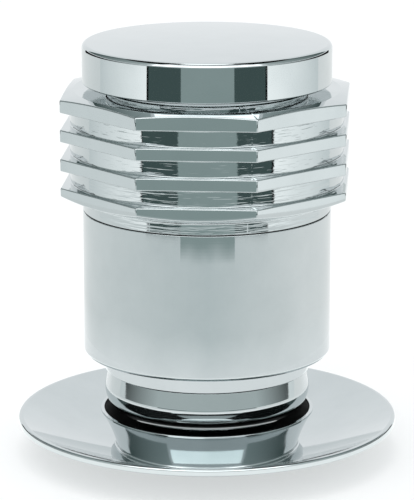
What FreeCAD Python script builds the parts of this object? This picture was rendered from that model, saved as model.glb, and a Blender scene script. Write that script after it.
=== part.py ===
"""Automatic air vent with a finned octagonal bonnet, a float chamber and a wall rosette.

The vent stands upright on the end of its inlet tail. The origin is on the axis at that end, +Z is up,
and two of the octagon's flats face -Y and +Y. Lengths are in millimetres.
"""

import FreeCAD, Part
import math
import os
from types import SimpleNamespace

import Sketcher

SIZES = {
    # Rosette: one spun sheet, a dish that rises outwards and a collar that flares around the tail.
    "rosette_radius": 35.5,
    "rosette_rim_base": 5.85,
    "rosette_rim_top": 7.25,
    "rosette_rim_width": 0.8,
    "rosette_sheet": 1.0,
    "rosette_hole_radius": 15.7,
    "rosette_fold_width": 1.4,
    "rosette_rim_under_width": 1.2,
    "collar_foot_width": 1.2,
    "collar_wall": 1.1,
    "collar_throat_radius": 18.6,
    "collar_throat_height": 5.6,
    "collar_lip_radius": 20.0,
    "collar_lip_base": 8.0,
    "collar_lip_top": 8.35,
    "collar_lip_inner_radius": 19.3,
    "collar_lip_round": 0.1,
    "sheet_edge_round": 0.25,
    # Inlet connector: G 3/4 male tail, round shoulder and the spigot that screws into the chamber.
    "tail_radius": 13.2205,
    "tail_chamfer": 0.9,
    "tail_thread_top": 7.0,
    "tail_relief_depth": 1.2,
    "inlet_bore_radius": 9.5,
    "shoulder_radius": 19.2,
    "shoulder_base": 8.1,
    "shoulder_round": 4.4,
    "shoulder_widest": 12.9,
    "shoulder_blend": 3.0,
    "shoulder_top": 16.1,
    "shoulder_top_radius": 18.5,
    "spigot_radius": 13.8,
    "spigot_top": 23.4,
    "strainer_seat_radius": 12.0,
    "strainer_seat_base": 17.0,
    "strainer_thickness": 1.0,
    "strainer_hole_radius": 1.0,
    "strainer_ring_height": 1.2,
    "strainer_ring_width": 2.2,
    # Float chamber.
    "chamber_radius": 23.0,
    "chamber_neck_radius": 19.2,
    "chamber_neck_base": 16.4,
    "chamber_base": 19.6,
    "chamber_top": 46.7,
    "chamber_edge_round": 0.8,
    "chamber_bore_radius": 20.4,
    "chamber_floor_top": 23.6,
    "chamber_socket_radius": 21.7,
    "chamber_socket_base": 41.0,
    "baffle_height": 1.0,
    "baffle_boss_radius": 5.0,
    "baffle_boss_height": 1.2,
    "baffle_hole_radius": 2.0,
    "baffle_hole_circle": 8.0,
    # Bonnet: turned inside and out, then milled to eight flats.
    "bonnet_base": 46.9,
    "bonnet_skirt_top": 49.0,
    "bonnet_spigot_radius": 21.6,
    "bonnet_spigot_base": 41.3,
    "bonnet_bore_radius": 19.3,
    "octagon_flats": 52.0,
    "turned_radius": 28.4,
    "groove_radius": 25.3,
    "fin_base": 50.1,
    "fin_thickness": 2.3,
    "fin_pitch": 5.4,
    "fin_under_chamfer": 0.8,
    "fin_top_edge": 68.6,
    "bonnet_face_radius": 24.6,
    "bonnet_top": 69.3,
    "bonnet_roof_base": 65.0,
    "neck_radius": 18.5,
    "neck_bore_radius": 15.5,
    "neck_top": 74.9,
    "seat_hole_radius": 4.0,
    # Vent cap: screws down on the bonnet's neck.
    "cap_radius": 23.0,
    "cap_base": 70.6,
    "cap_edge": 77.9,
    "cap_crest": 78.5,
    "cap_edge_round": 0.9,
    "cap_bore_radius": 18.56,
    "cap_ceiling": 75.9,
    "cap_washer_base": 75.0,
    "cap_washer_thickness": 0.8,
    "cap_washer_radius": 17.5,
    "cap_washer_bore": 12.0,
    # Float and its stirrup.
    "float_radius": 18.6,
    "float_base": 26.0,
    "float_seam": 36.5,
    "float_top": 47.0,
    "float_wall": 1.0,
    "float_edge_round": 3.0,
    "stirrup_foot_radius": 3.0,
    "stirrup_foot_height": 1.0,
    "stirrup_thickness": 1.0,
    "stirrup_width": 8.0,
    "stirrup_top": 54.6,
    "stirrup_window_width": 6.2,
    "stirrup_window_height": 1.9,
    # Lever, pivot and bracket.
    "pivot_reach": 9.0,
    "stirrup_reach": 9.0,
    "lever_height": 52.5,
    "lever_thickness": 1.2,
    "lever_width": 5.0,
    "lever_tip_overrun": 1.5,
    "lever_eye_radius": 2.0,
    "lever_eye_width": 9.0,
    "pivot_pin_radius": 0.98,
    "pivot_hole_radius": 1.03,
    "pivot_pin_length": 19.0,
    "clip_radius": 1.9,
    "clip_thickness": 0.5,
    "bracket_cheek_spacing": 14.0,
    "bracket_sheet": 1.0,
    "bracket_cheek_base": 50.4,
    "bracket_back": 12.0,
    "bracket_front": 4.0,
    "bracket_plate_width": 27.0,
    "bracket_opening_radius": 6.6,
    "guide_base": 55.5,
    "guide_hole_radius": 1.06,
    "guide_half_length": 4.0,
    "screw_spacing": 21.0,
    "screw_radius": 1.45,
    "screw_hole_radius": 1.5,
    "screw_length": 3.3,
    "screw_hole_depth": 3.6,
    "screw_head_radius": 2.4,
    "screw_head_height": 1.5,
    "screw_slot_width": 0.7,
    "screw_slot_depth": 0.6,
    # Vent seat, valve stem, seal and opening spring.
    "seat_shank_radius": 3.95,
    "seat_shank_top": 71.5,
    "seat_flange_radius": 5.8,
    "seat_flange_base": 62.2,
    "seat_washer_thickness": 0.7,
    "seat_washer_bore": 4.05,
    "seat_tip_radius": 2.2,
    "seat_tip_base": 61.05,
    "seat_bore_radius": 1.0,
    "stem_radius": 1.0,
    "stem_ball_height": 54.2,
    "stem_head_radius": 4.2,
    "stem_head_base": 57.4,
    "stem_head_top": 58.9,
    "seal_radius": 2.6,
    "seal_base": 58.5,
    "seal_top": 59.5,
    "spring_wire_radius": 0.2,
    "spring_radius": 3.6,
    "spring_turns": 3.0,
    # Static seals.
    "connector_seal_bore": 14.1,
    "connector_seal_radius": 17.6,
    "bonnet_seal_bore": 21.75,
    "bonnet_seal_radius": 22.75,
    # Gaps between neighbours, and how far a cutting tool runs past the work.
    "thread_gap": 0.05,
    "running_gap": 0.05,
    "loose_gap": 0.1,
    "spring_gap": 0.02,
    "tool_overrun": 1.0,
}

FINS = 4
FLATS = 8
BAFFLE_HOLES = 6
STRAINER_CIRCLES = ((1, 0.0), (6, 3.1), (12, 6.2))
# A tool that makes a through hole is this many times as long as the wall.
THROUGH = 3


class Size:
    """A length that carries its number and the spreadsheet expression it comes from."""

    def __init__(self, value, expression):
        self.value = value
        self.expression = expression

    def joined(self, other, sign, value):
        """Return this length joined to another by an arithmetic sign."""
        return Size(value, f"({self.expression} {sign} {text_of(other)})")

    def __add__(self, other):
        return self.joined(other, "+", self.value + number_of(other))

    def __sub__(self, other):
        return self.joined(other, "-", self.value - number_of(other))

    def __mul__(self, other):
        return self.joined(other, "*", self.value * number_of(other))

    def __truediv__(self, other):
        return self.joined(other, "/", self.value / number_of(other))

    def __neg__(self):
        return Size(-self.value, f"(0 - {self.expression})")


def number_of(length):
    """Return the number of a Size or of a plain number."""
    return length.value if isinstance(length, Size) else float(length)


def text_of(length):
    """Return the expression of a Size or of a plain number."""
    return length.expression if isinstance(length, Size) else repr(float(length))


doc = FreeCAD.newDocument("AutomaticAirVent")
sheet = doc.addObject("Spreadsheet::Sheet", "Sizes")
for row, (alias, value) in enumerate(SIZES.items(), start=1):
    sheet.set(f"A{row}", alias)
    sheet.set(f"B{row}", str(value))
    sheet.setAlias(f"B{row}", alias)
doc.recompute()
dim = SimpleNamespace(**{alias: Size(value, f"Sizes.{alias}") for alias, value in SIZES.items()})

# ---------------------------------------------------------------- helpers


def bind(item, path, length):
    """Bind one property of an object to a spreadsheet expression."""
    item.setExpression(path, text_of(length))


def place(item, x=0.0, y=0.0, z=0.0, rotation=None):
    """Put an object at a place bound to the spreadsheet."""
    if rotation is not None:
        item.Placement = FreeCAD.Placement(FreeCAD.Vector(), rotation)
    for axis, length in (("x", x), ("y", y), ("z", z)):
        bind(item, f"Placement.Base.{axis}", length)


def cylinder(name, radius, height, x=0.0, y=0.0, z=0.0, rotation=None):
    """Return a cylinder that starts at the given place and runs along its own axis."""
    item = doc.addObject("Part::Cylinder", name)
    bind(item, "Radius", radius)
    bind(item, "Height", height)
    place(item, x, y, z, rotation)
    return item


def box(name, length, width, height, x, y, z):
    """Return a box whose low corner is at the given place."""
    item = doc.addObject("Part::Box", name)
    bind(item, "Length", length)
    bind(item, "Width", width)
    bind(item, "Height", height)
    place(item, x, y, z)
    return item


def fuse(name, *shapes):
    """Return the union of the shapes."""
    item = doc.addObject("Part::MultiFuse", name)
    item.Shapes = list(shapes)
    return item


def cut(name, base, *tools):
    """Return the base less every tool."""
    item = doc.addObject("Part::Cut", name)
    item.Base = base
    item.Tool = tools[0] if len(tools) == 1 else fuse(f"{name}_tools", *tools)
    return item


def compound(name, *shapes):
    """Return separate solids kept together as one group."""
    item = doc.addObject("Part::Compound", name)
    item.Links = list(shapes)
    return item


def origin_plane(body, role):
    """Return one of the body's own origin planes."""
    return next(plane for plane in body.Origin.OriginFeatures if plane.Role == role)


def pin_point(sketch, geometry, point, radius, height):
    """Fix one sketch point at a radius and a height, both bound to the spreadsheet."""
    for kind, length, axis in (("DistanceX", radius, -2), ("DistanceY", height, -1)):
        if number_of(length) == 0:
            sketch.addConstraint(Sketcher.Constraint("PointOnObject", geometry, point, axis))
            continue
        number = number_of(length)
        index = sketch.addConstraint(Sketcher.Constraint(kind, -1, 1, geometry, point, number))
        sketch.setExpression(f"Constraints[{index}]", text_of(length))


def corner_arc(before, corner, after, radius):
    """Return the two tangent points and the arc that rounds one corner of an outline."""
    incoming = (before - corner).normalize()
    outgoing = (after - corner).normalize()
    half = incoming.getAngle(outgoing) / 2
    reach = radius / math.tan(half)
    start = corner + incoming * reach
    end = corner + outgoing * reach
    bisector = (incoming + outgoing).normalize()
    middle = corner + bisector * (radius / math.sin(half) - radius)
    return start, end, Part.Arc(start, middle, end)


def turned(name, outline):
    """Return a body revolved about Z from corners given as (radius, height[, corner rounding])."""
    body = doc.addObject("PartDesign::Body", name)
    sketch = body.newObject("Sketcher::SketchObject", f"{name}_outline")
    sketch.AttachmentSupport = [(origin_plane(body, "XZ_Plane"), "")]
    sketch.MapMode = "FlatFace"
    corners = [FreeCAD.Vector(number_of(corner[0]), number_of(corner[1]), 0) for corner in outline]
    count = len(corners)
    roundings = [corner[2] if len(corner) > 2 else None for corner in outline]
    starts = list(corners)
    ends = list(corners)
    arcs = {}
    for index, rounding in enumerate(roundings):
        if rounding is None:
            continue
        before = corners[index - 1]
        after = corners[(index + 1) % count]
        ends[index], starts[index], arcs[index] = corner_arc(
            FreeCAD.Vector(before), FreeCAD.Vector(corners[index]), FreeCAD.Vector(after),
            number_of(rounding))
    sides = []
    for index in range(count):
        side = Part.LineSegment(starts[index], ends[(index + 1) % count])
        sides.append(sketch.addGeometry(side, False))
    for index, (radius, height) in enumerate((corner[0], corner[1]) for corner in outline):
        incoming = sides[index - 1]
        outgoing = sides[index]
        if index not in arcs:
            sketch.addConstraint(Sketcher.Constraint("Coincident", incoming, 2, outgoing, 1))
            pin_point(sketch, outgoing, 1, radius, height)
            continue
        arc = sketch.addGeometry(arcs[index], False)
        point = sketch.addGeometry(Part.Point(corners[index]), True)
        starts_here = sketch.getPoint(arc, 1).distanceToPoint(ends[index]) < 1e-6
        first, last = (1, 2) if starts_here else (2, 1)
        sketch.addConstraint(Sketcher.Constraint("Tangent", incoming, 2, arc, first))
        sketch.addConstraint(Sketcher.Constraint("Tangent", outgoing, 1, arc, last))
        sketch.addConstraint(Sketcher.Constraint("PointOnObject", point, 1, incoming))
        sketch.addConstraint(Sketcher.Constraint("PointOnObject", point, 1, outgoing))
        pin_point(sketch, point, 1, radius, height)
        rounding = roundings[index]
        number = number_of(rounding)
        constraint = sketch.addConstraint(Sketcher.Constraint("Radius", arc, number))
        sketch.setExpression(f"Constraints[{constraint}]", text_of(rounding))
    revolution = body.newObject("PartDesign::Revolution", f"{name}_turn")
    revolution.Profile = sketch
    revolution.ReferenceAxis = (sketch, ["V_Axis"])
    revolution.Angle = 360
    body.Tip = revolution
    return body


def ring(name, bore, radius, base, height):
    """Return a flat ring or washer."""
    return turned(name, [(bore, base), (radius, base), (radius, base + height), (bore, base + height)])


ALONG_Y = FreeCAD.Rotation(FreeCAD.Vector(1, 0, 0), -90)

# ---------------------------------------------------------------- sub-parts


def make_rosette():
    """The spun dish: flat fold ring underneath, rolled rim outside, flared collar inside."""
    hole = dim.rosette_hole_radius
    fold = hole + dim.rosette_fold_width
    sheet_thickness = dim.rosette_sheet
    return turned("rosette", [
        (hole, 0),
        (fold, 0),
        (dim.rosette_radius - dim.rosette_rim_under_width, dim.rosette_rim_base),
        (dim.rosette_radius, dim.rosette_rim_base, dim.sheet_edge_round),
        (dim.rosette_radius, dim.rosette_rim_top, dim.sheet_edge_round),
        (dim.rosette_radius - dim.rosette_rim_width, dim.rosette_rim_top),
        (hole + dim.collar_foot_width, sheet_thickness),
        (dim.collar_throat_radius, dim.collar_throat_height),
        (dim.collar_lip_radius, dim.collar_lip_base, dim.collar_lip_round),
        (dim.collar_lip_radius, dim.collar_lip_top, dim.collar_lip_round),
        (dim.collar_lip_inner_radius, dim.collar_lip_top, dim.collar_lip_round),
        (dim.collar_throat_radius - dim.collar_wall, dim.collar_throat_height),
        (hole, sheet_thickness),
    ])


def make_inlet_connector():
    """The tail with its shoulder and spigot, bored through, with a seat for the strainer."""
    relief = dim.tail_radius - dim.tail_relief_depth
    return turned("inlet_connector", [
        (dim.inlet_bore_radius, 0),
        (dim.tail_radius - dim.tail_chamfer, 0),
        (dim.tail_radius, dim.tail_chamfer),
        (dim.tail_radius, dim.tail_thread_top),
        (relief, dim.tail_thread_top),
        (relief, dim.shoulder_base),
        (dim.shoulder_radius, dim.shoulder_base, dim.shoulder_round),
        (dim.shoulder_radius, dim.shoulder_widest, dim.shoulder_blend),
        (dim.shoulder_top_radius, dim.shoulder_top),
        (dim.spigot_radius, dim.shoulder_top),
        (dim.spigot_radius, dim.spigot_top),
        (dim.strainer_seat_radius, dim.spigot_top),
        (dim.strainer_seat_radius, dim.strainer_seat_base),
        (dim.inlet_bore_radius, dim.strainer_seat_base),
    ])


def make_strainer():
    """A perforated disc that lies on the ledge in the connector."""
    thickness = dim.strainer_thickness
    base = dim.strainer_seat_base
    disc = cylinder("strainer_disc", dim.strainer_seat_radius - dim.loose_gap, thickness, z=base)
    holes = []
    for count, circle in STRAINER_CIRCLES:
        for index in range(count):
            angle = 2 * math.pi * index / count
            holes.append(cylinder(f"strainer_hole_{len(holes)}", dim.strainer_hole_radius,
                                  thickness * THROUGH, circle * math.cos(angle),
                                  circle * math.sin(angle), base - thickness))
    return cut("inlet_strainer", disc, *holes)


def make_strainer_ring():
    """The ring that holds the strainer down."""
    radius = dim.strainer_seat_radius - dim.loose_gap
    return ring("strainer_retaining_ring", radius - dim.strainer_ring_width, radius,
                dim.strainer_seat_base + dim.strainer_thickness, dim.strainer_ring_height)


def make_float_chamber():
    """The plain round body: a cup with a threaded neck below and a wide socket above."""
    port = dim.spigot_radius + dim.thread_gap
    return turned("float_chamber", [
        (port, dim.chamber_neck_base),
        (dim.chamber_neck_radius, dim.chamber_neck_base),
        (dim.chamber_neck_radius, dim.chamber_base),
        (dim.chamber_radius, dim.chamber_base, dim.chamber_edge_round),
        (dim.chamber_radius, dim.chamber_top),
        (dim.chamber_socket_radius, dim.chamber_top),
        (dim.chamber_socket_radius, dim.chamber_socket_base),
        (dim.chamber_bore_radius, dim.chamber_socket_base),
        (dim.chamber_bore_radius, dim.chamber_floor_top),
        (port, dim.chamber_floor_top),
    ])


def make_splash_baffle():
    """A perforated disc on the chamber floor: it stills the flow, and the float rests on its boss."""
    base = dim.chamber_floor_top
    top = base + dim.baffle_height
    edge = dim.chamber_bore_radius - dim.loose_gap
    disc = turned("baffle_disc", [
        (0, base),
        (edge, base),
        (edge, top),
        (dim.baffle_boss_radius, top),
        (dim.baffle_boss_radius, top + dim.baffle_boss_height, dim.sheet_edge_round),
        (0, top + dim.baffle_boss_height),
    ])
    holes = []
    for index in range(BAFFLE_HOLES):
        angle = 2 * math.pi * index / BAFFLE_HOLES
        holes.append(cylinder(f"baffle_hole_{index}", dim.baffle_hole_radius,
                              dim.baffle_height * THROUGH,
                              dim.baffle_hole_circle * math.cos(angle),
                              dim.baffle_hole_circle * math.sin(angle), base - dim.baffle_height))
    return cut("splash_baffle", disc, *holes)


def bonnet_outline():
    """Return the corners of the bonnet's turned section, from its lowest edge round to the bore."""
    corners = [
        (dim.bonnet_bore_radius, dim.bonnet_spigot_base),
        (dim.bonnet_spigot_radius, dim.bonnet_spigot_base),
        (dim.bonnet_spigot_radius, dim.bonnet_base),
        (dim.chamber_radius, dim.bonnet_base),
        (dim.chamber_radius, dim.bonnet_skirt_top),
        (dim.turned_radius, dim.fin_base + dim.fin_under_chamfer),
    ]
    for fin in range(FINS - 1):
        fin_top = dim.fin_base + dim.fin_pitch * fin + dim.fin_thickness
        next_base = dim.fin_base + dim.fin_pitch * (fin + 1)
        corners += [
            (dim.turned_radius, fin_top),
            (dim.groove_radius, fin_top),
            (dim.groove_radius, next_base),
            (dim.turned_radius, next_base),
        ]
    corners += [
        (dim.turned_radius, dim.fin_top_edge),
        (dim.bonnet_face_radius, dim.bonnet_top),
        (dim.neck_radius, dim.bonnet_top),
        (dim.neck_radius, dim.neck_top),
        (dim.neck_bore_radius, dim.neck_top),
        (dim.neck_bore_radius, dim.bonnet_top),
        (dim.seat_hole_radius, dim.bonnet_top),
        (dim.seat_hole_radius, dim.bonnet_roof_base),
        (dim.bonnet_bore_radius, dim.bonnet_roof_base),
    ]
    return corners


def make_bonnet():
    """The finned head: the turned section cut to eight flats, with two blind screw holes."""
    turning = turned("bonnet_turning", bonnet_outline())
    bar = doc.addObject("Part::Prism", "octagon_bar")
    bar.Polygon = FLATS
    bind(bar, "Circumradius", dim.octagon_flats / (2 * math.cos(math.pi / FLATS)))
    bind(bar, "Height", dim.neck_top + dim.tool_overrun)
    place(bar, rotation=FreeCAD.Rotation(FreeCAD.Vector(0, 0, 1), 180 / FLATS))
    milled = doc.addObject("Part::Common", "bonnet_milled")
    milled.Base = turning
    milled.Tool = bar
    holes = [
        cylinder(f"roof_hole_{name}", dim.screw_hole_radius, dim.screw_hole_depth,
                 y=dim.screw_spacing * side / 2, z=dim.bonnet_roof_base)
        for name, side in (("left", -1), ("right", 1))
    ]
    return cut("bonnet", milled, *holes)


def make_connector_seal():
    """The flat seal between the connector's shoulder and the chamber's neck."""
    return ring("connector_seal", dim.connector_seal_bore, dim.connector_seal_radius,
                dim.shoulder_top, dim.chamber_neck_base - dim.shoulder_top)


def make_bonnet_seal():
    """The flat seal between the chamber's rim and the bonnet."""
    return ring("bonnet_seal", dim.bonnet_seal_bore, dim.bonnet_seal_radius,
                dim.chamber_top, dim.bonnet_base - dim.chamber_top)


def make_float_shell(name, end, toward):
    """One cup of the hollow float, from its closed end to the seam."""
    wall = dim.float_wall
    inner_end = end + wall * toward
    return turned(name, [
        (0, end),
        (dim.float_radius, end, dim.float_edge_round),
        (dim.float_radius, dim.float_seam),
        (dim.float_radius - wall, dim.float_seam),
        (dim.float_radius - wall, inner_end, dim.float_edge_round - wall),
        (0, inner_end),
    ])


def make_float_stirrup():
    """The foot and the windowed strip on the float that lift the lever's end."""
    reach = dim.stirrup_reach
    foot = cylinder("stirrup_foot", dim.stirrup_foot_radius, dim.stirrup_foot_height, x=reach,
                    z=dim.float_top)
    strip = box("stirrup_strip", dim.stirrup_thickness, dim.stirrup_width,
                dim.stirrup_top - dim.float_top, reach - dim.stirrup_thickness / 2,
                -dim.stirrup_width / 2, dim.float_top)
    window = box("stirrup_window", dim.stirrup_thickness * THROUGH, dim.stirrup_window_width,
                 dim.stirrup_window_height, reach - dim.stirrup_thickness * THROUGH / 2,
                 -dim.stirrup_window_width / 2, dim.lever_height - dim.stirrup_window_height / 2)
    return cut("float_stirrup", fuse("stirrup_blank", foot, strip), window)


def make_lever():
    """The flat lever with a rolled eye at the pivot."""
    length = dim.pivot_reach + dim.stirrup_reach + dim.lever_tip_overrun
    blade = box("lever_blade", length, dim.lever_width, dim.lever_thickness, -dim.pivot_reach,
                -dim.lever_width / 2, dim.lever_height - dim.lever_thickness / 2)
    eye = cylinder("lever_eye", dim.lever_eye_radius, dim.lever_eye_width, -dim.pivot_reach,
                   -dim.lever_eye_width / 2, dim.lever_height, ALONG_Y)
    hole = cylinder("lever_eye_hole", dim.pivot_hole_radius, dim.lever_eye_width * THROUGH,
                    -dim.pivot_reach, -dim.lever_eye_width * THROUGH / 2, dim.lever_height, ALONG_Y)
    return cut("float_lever", fuse("lever_blank", blade, eye), hole)


def make_lever_pin():
    """The straight pin that the lever turns on."""
    return cylinder("lever_pin", dim.pivot_pin_radius, dim.pivot_pin_length, -dim.pivot_reach,
                    -dim.pivot_pin_length / 2, dim.lever_height, ALONG_Y)


def make_pin_clips():
    """The two clips on the pin, outside the bracket's cheeks."""
    outside = dim.bracket_cheek_spacing / 2 + dim.bracket_sheet + dim.running_gap
    clips = []
    for name, start in (("left", -outside - dim.clip_thickness), ("right", outside)):
        disc = cylinder(f"clip_disc_{name}", dim.clip_radius, dim.clip_thickness, -dim.pivot_reach,
                        start, dim.lever_height, ALONG_Y)
        hole = cylinder(f"clip_hole_{name}", dim.pivot_pin_radius, dim.clip_thickness * THROUGH,
                        -dim.pivot_reach, start - dim.clip_thickness, dim.lever_height, ALONG_Y)
        clips.append(cut(f"clip_{name}", disc, hole))
    return compound("pin_clips", *clips)


def make_bracket():
    """The folded bracket: a plate under the roof, two cheeks and the stem's guide plate."""
    sheet_thickness = dim.bracket_sheet
    length = dim.bracket_back + dim.bracket_front
    plate_base = dim.bonnet_roof_base - sheet_thickness
    plate = box("bracket_plate", length, dim.bracket_plate_width, sheet_thickness, -dim.bracket_back,
                -dim.bracket_plate_width / 2, plate_base)
    half_gap = dim.bracket_cheek_spacing / 2
    cheeks = [
        box(f"bracket_cheek_{name}", length, sheet_thickness, plate_base - dim.bracket_cheek_base,
            -dim.bracket_back, start, dim.bracket_cheek_base)
        for name, start in (("left", -half_gap - sheet_thickness), ("right", half_gap))
    ]
    guide = box("bracket_guide", dim.guide_half_length * 2, dim.bracket_cheek_spacing,
                sheet_thickness, -dim.guide_half_length, -half_gap, dim.guide_base)
    opening = cylinder("bracket_opening", dim.bracket_opening_radius, sheet_thickness * THROUGH,
                       z=plate_base - sheet_thickness)
    guide_hole = cylinder("bracket_guide_hole", dim.guide_hole_radius, sheet_thickness * THROUGH,
                          z=dim.guide_base - sheet_thickness)
    pivot_hole = cylinder("bracket_pivot_hole", dim.pivot_hole_radius, dim.bracket_plate_width,
                          -dim.pivot_reach, -dim.bracket_plate_width / 2, dim.lever_height, ALONG_Y)
    screw_holes = [
        cylinder(f"bracket_screw_hole_{name}", dim.screw_hole_radius, sheet_thickness * THROUGH,
                 y=dim.screw_spacing * side / 2, z=plate_base - sheet_thickness)
        for name, side in (("left", -1), ("right", 1))
    ]
    blank = fuse("bracket_blank", plate, guide, *cheeks)
    return cut("lever_bracket", blank, opening, guide_hole, pivot_hole, *screw_holes)


def make_bracket_screws():
    """The two slotted screws that hold the bracket to the roof."""
    head_top = dim.bonnet_roof_base - dim.bracket_sheet
    screws = []
    for name, side in (("left", -1), ("right", 1)):
        centre = dim.screw_spacing * side / 2
        shank = cylinder(f"screw_shank_{name}", dim.screw_radius,
                         dim.screw_length + dim.bracket_sheet, y=centre, z=head_top)
        head = cylinder(f"screw_head_{name}", dim.screw_head_radius, dim.screw_head_height, y=centre,
                        z=head_top - dim.screw_head_height)
        slot = box(f"screw_slot_{name}", dim.screw_head_radius * THROUGH, dim.screw_slot_width,
                   dim.screw_slot_depth * 2, -dim.screw_head_radius * THROUGH / 2,
                   centre - dim.screw_slot_width / 2,
                   head_top - dim.screw_head_height - dim.screw_slot_depth)
        screws.append(cut(f"screw_{name}", fuse(f"screw_blank_{name}", shank, head), slot))
    return compound("bracket_screws", *screws)


def make_vent_seat():
    """The nozzle in the roof: a threaded shank, a flange and the small seat that the seal closes."""
    flange_top = dim.bonnet_roof_base - dim.seat_washer_thickness
    return turned("vent_seat", [
        (dim.seat_bore_radius, dim.seat_tip_base),
        (dim.seat_tip_radius, dim.seat_tip_base),
        (dim.seat_tip_radius, dim.seat_flange_base),
        (dim.seat_flange_radius, dim.seat_flange_base),
        (dim.seat_flange_radius, flange_top),
        (dim.seat_shank_radius, flange_top),
        (dim.seat_shank_radius, dim.seat_shank_top),
        (dim.seat_bore_radius, dim.seat_shank_top),
    ])


def make_seat_washer():
    """The flat washer between the nozzle's flange and the roof."""
    return ring("seat_washer", dim.seat_washer_bore, dim.seat_flange_radius,
                dim.bonnet_roof_base - dim.seat_washer_thickness, dim.seat_washer_thickness)


def make_valve_stem():
    """The stem that the lever lifts: a ball foot, a thin shank and a head with a seal pocket."""
    shank = turned("stem_shank", [
        (0, dim.stem_ball_height),
        (dim.stem_radius, dim.stem_ball_height),
        (dim.stem_radius, dim.stem_head_base),
        (dim.stem_head_radius, dim.stem_head_base),
        (dim.stem_head_radius, dim.stem_head_top),
        (dim.seal_radius + dim.running_gap, dim.stem_head_top),
        (dim.seal_radius + dim.running_gap, dim.seal_base),
        (0, dim.seal_base),
    ])
    ball = doc.addObject("Part::Sphere", "stem_ball")
    bind(ball, "Radius", dim.stem_radius)
    place(ball, z=dim.stem_ball_height)
    return fuse("valve_stem", shank, ball)


def make_seal_disc():
    """The rubber disc in the stem's head."""
    return cylinder("seal_disc", dim.seal_radius, dim.seal_top - dim.seal_base, z=dim.seal_base)


def make_valve_spring():
    """The light coil between the nozzle's flange and the stem's head that opens the valve."""
    wire = dim.spring_wire_radius
    base = dim.stem_head_top + wire + dim.spring_gap
    height = dim.seat_flange_base - dim.stem_head_top - (wire + dim.spring_gap) * 2
    coil = doc.addObject("Part::Helix", "spring_path")
    bind(coil, "Radius", dim.spring_radius)
    bind(coil, "Height", height)
    bind(coil, "Pitch", height / dim.spring_turns)
    place(coil, z=base)
    section = doc.addObject("Part::Circle", "spring_section")
    bind(section, "Radius", wire)
    place(section, dim.spring_radius, 0.0, base, ALONG_Y)
    spring = doc.addObject("Part::Sweep", "valve_spring")
    spring.Sections = [section]
    spring.Spine = (coil, ["Edge1"])
    spring.Solid = True
    spring.Frenet = True
    return spring


def make_vent_cap():
    """The smooth round cap, bored to screw down over the bonnet's neck."""
    return turned("vent_cap", [
        (dim.cap_bore_radius, dim.cap_base),
        (dim.cap_radius, dim.cap_base, dim.sheet_edge_round),
        (dim.cap_radius, dim.cap_edge, dim.cap_edge_round),
        (0, dim.cap_crest),
        (0, dim.cap_ceiling),
        (dim.cap_bore_radius, dim.cap_ceiling),
    ])


def make_cap_washer():
    """The soft washer under the cap's ceiling that seals on the neck's rim."""
    return ring("cap_washer", dim.cap_washer_bore, dim.cap_washer_radius, dim.cap_washer_base,
                dim.cap_washer_thickness)


SUB_PARTS = [
    make_rosette(),
    make_inlet_connector(),
    make_strainer(),
    make_strainer_ring(),
    make_connector_seal(),
    make_float_chamber(),
    make_splash_baffle(),
    make_bonnet_seal(),
    make_bonnet(),
    make_float_shell("float_lower_shell", dim.float_base, 1),
    make_float_shell("float_upper_shell", dim.float_top, -1),
    make_float_stirrup(),
    make_lever(),
    make_lever_pin(),
    make_pin_clips(),
    make_bracket(),
    make_bracket_screws(),
    make_vent_seat(),
    make_seat_washer(),
    make_valve_stem(),
    make_seal_disc(),
    make_valve_spring(),
    make_vent_cap(),
    make_cap_washer(),
]

doc.recompute()
failed = [item.Label for item in doc.Objects if {"Invalid", "Error"} & set(item.State)]
if failed:
    raise RuntimeError(f"objects that did not compute: {failed}")
for part in SUB_PARTS:
    if part.Shape.isNull() or not part.Shape.isValid():
        raise RuntimeError(f"{part.Label} has no valid shape")
    if part.Shape.Volume <= 0:
        raise RuntimeError(f"{part.Label} is empty")

os.makedirs("parts", exist_ok=True)
for part in SUB_PARTS:
    part.Shape.exportStep(f"parts/{part.Label}.step")
    extent = part.Shape.BoundBox
    print(f"{part.Label:26s} {len(part.Shape.Solids)} solid(s) {part.Shape.Volume:10.1f} mm3 "
          f"z {extent.ZMin:6.2f} to {extent.ZMax:6.2f} r {extent.XMax:6.2f}")
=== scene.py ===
"""Looks of the automatic air vent: every visible piece turned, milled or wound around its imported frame."""

import logging
import math
from dataclasses import dataclass, replace
from enum import Enum

import bpy
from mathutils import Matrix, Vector


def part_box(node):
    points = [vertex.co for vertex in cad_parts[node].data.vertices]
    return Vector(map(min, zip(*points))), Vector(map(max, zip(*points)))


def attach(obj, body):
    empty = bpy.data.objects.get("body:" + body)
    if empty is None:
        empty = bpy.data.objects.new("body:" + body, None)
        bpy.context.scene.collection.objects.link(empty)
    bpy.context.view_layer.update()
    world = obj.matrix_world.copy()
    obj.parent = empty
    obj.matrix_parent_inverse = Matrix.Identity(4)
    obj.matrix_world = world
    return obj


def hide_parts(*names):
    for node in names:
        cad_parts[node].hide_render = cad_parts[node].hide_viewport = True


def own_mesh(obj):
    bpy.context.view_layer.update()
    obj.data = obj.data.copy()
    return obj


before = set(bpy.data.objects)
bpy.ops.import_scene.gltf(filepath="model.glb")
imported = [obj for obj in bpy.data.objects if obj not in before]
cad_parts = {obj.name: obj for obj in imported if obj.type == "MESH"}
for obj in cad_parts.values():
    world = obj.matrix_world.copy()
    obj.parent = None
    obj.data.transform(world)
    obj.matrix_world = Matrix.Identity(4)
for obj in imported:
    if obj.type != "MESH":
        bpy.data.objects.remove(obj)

MM = 0.001
LOG = logging.getLogger("air_vent")
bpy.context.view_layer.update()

# Columns of faces round a turned piece, by its size.
COLUMNS_LARGE = 256
COLUMNS = 192
COLUMNS_SMALL = 96
COLUMNS_TINY = 64

# Steps in a side that bows out or in, and round a rounded corner.
BOW_STEPS = 16
ROUND_STEPS = 8

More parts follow.
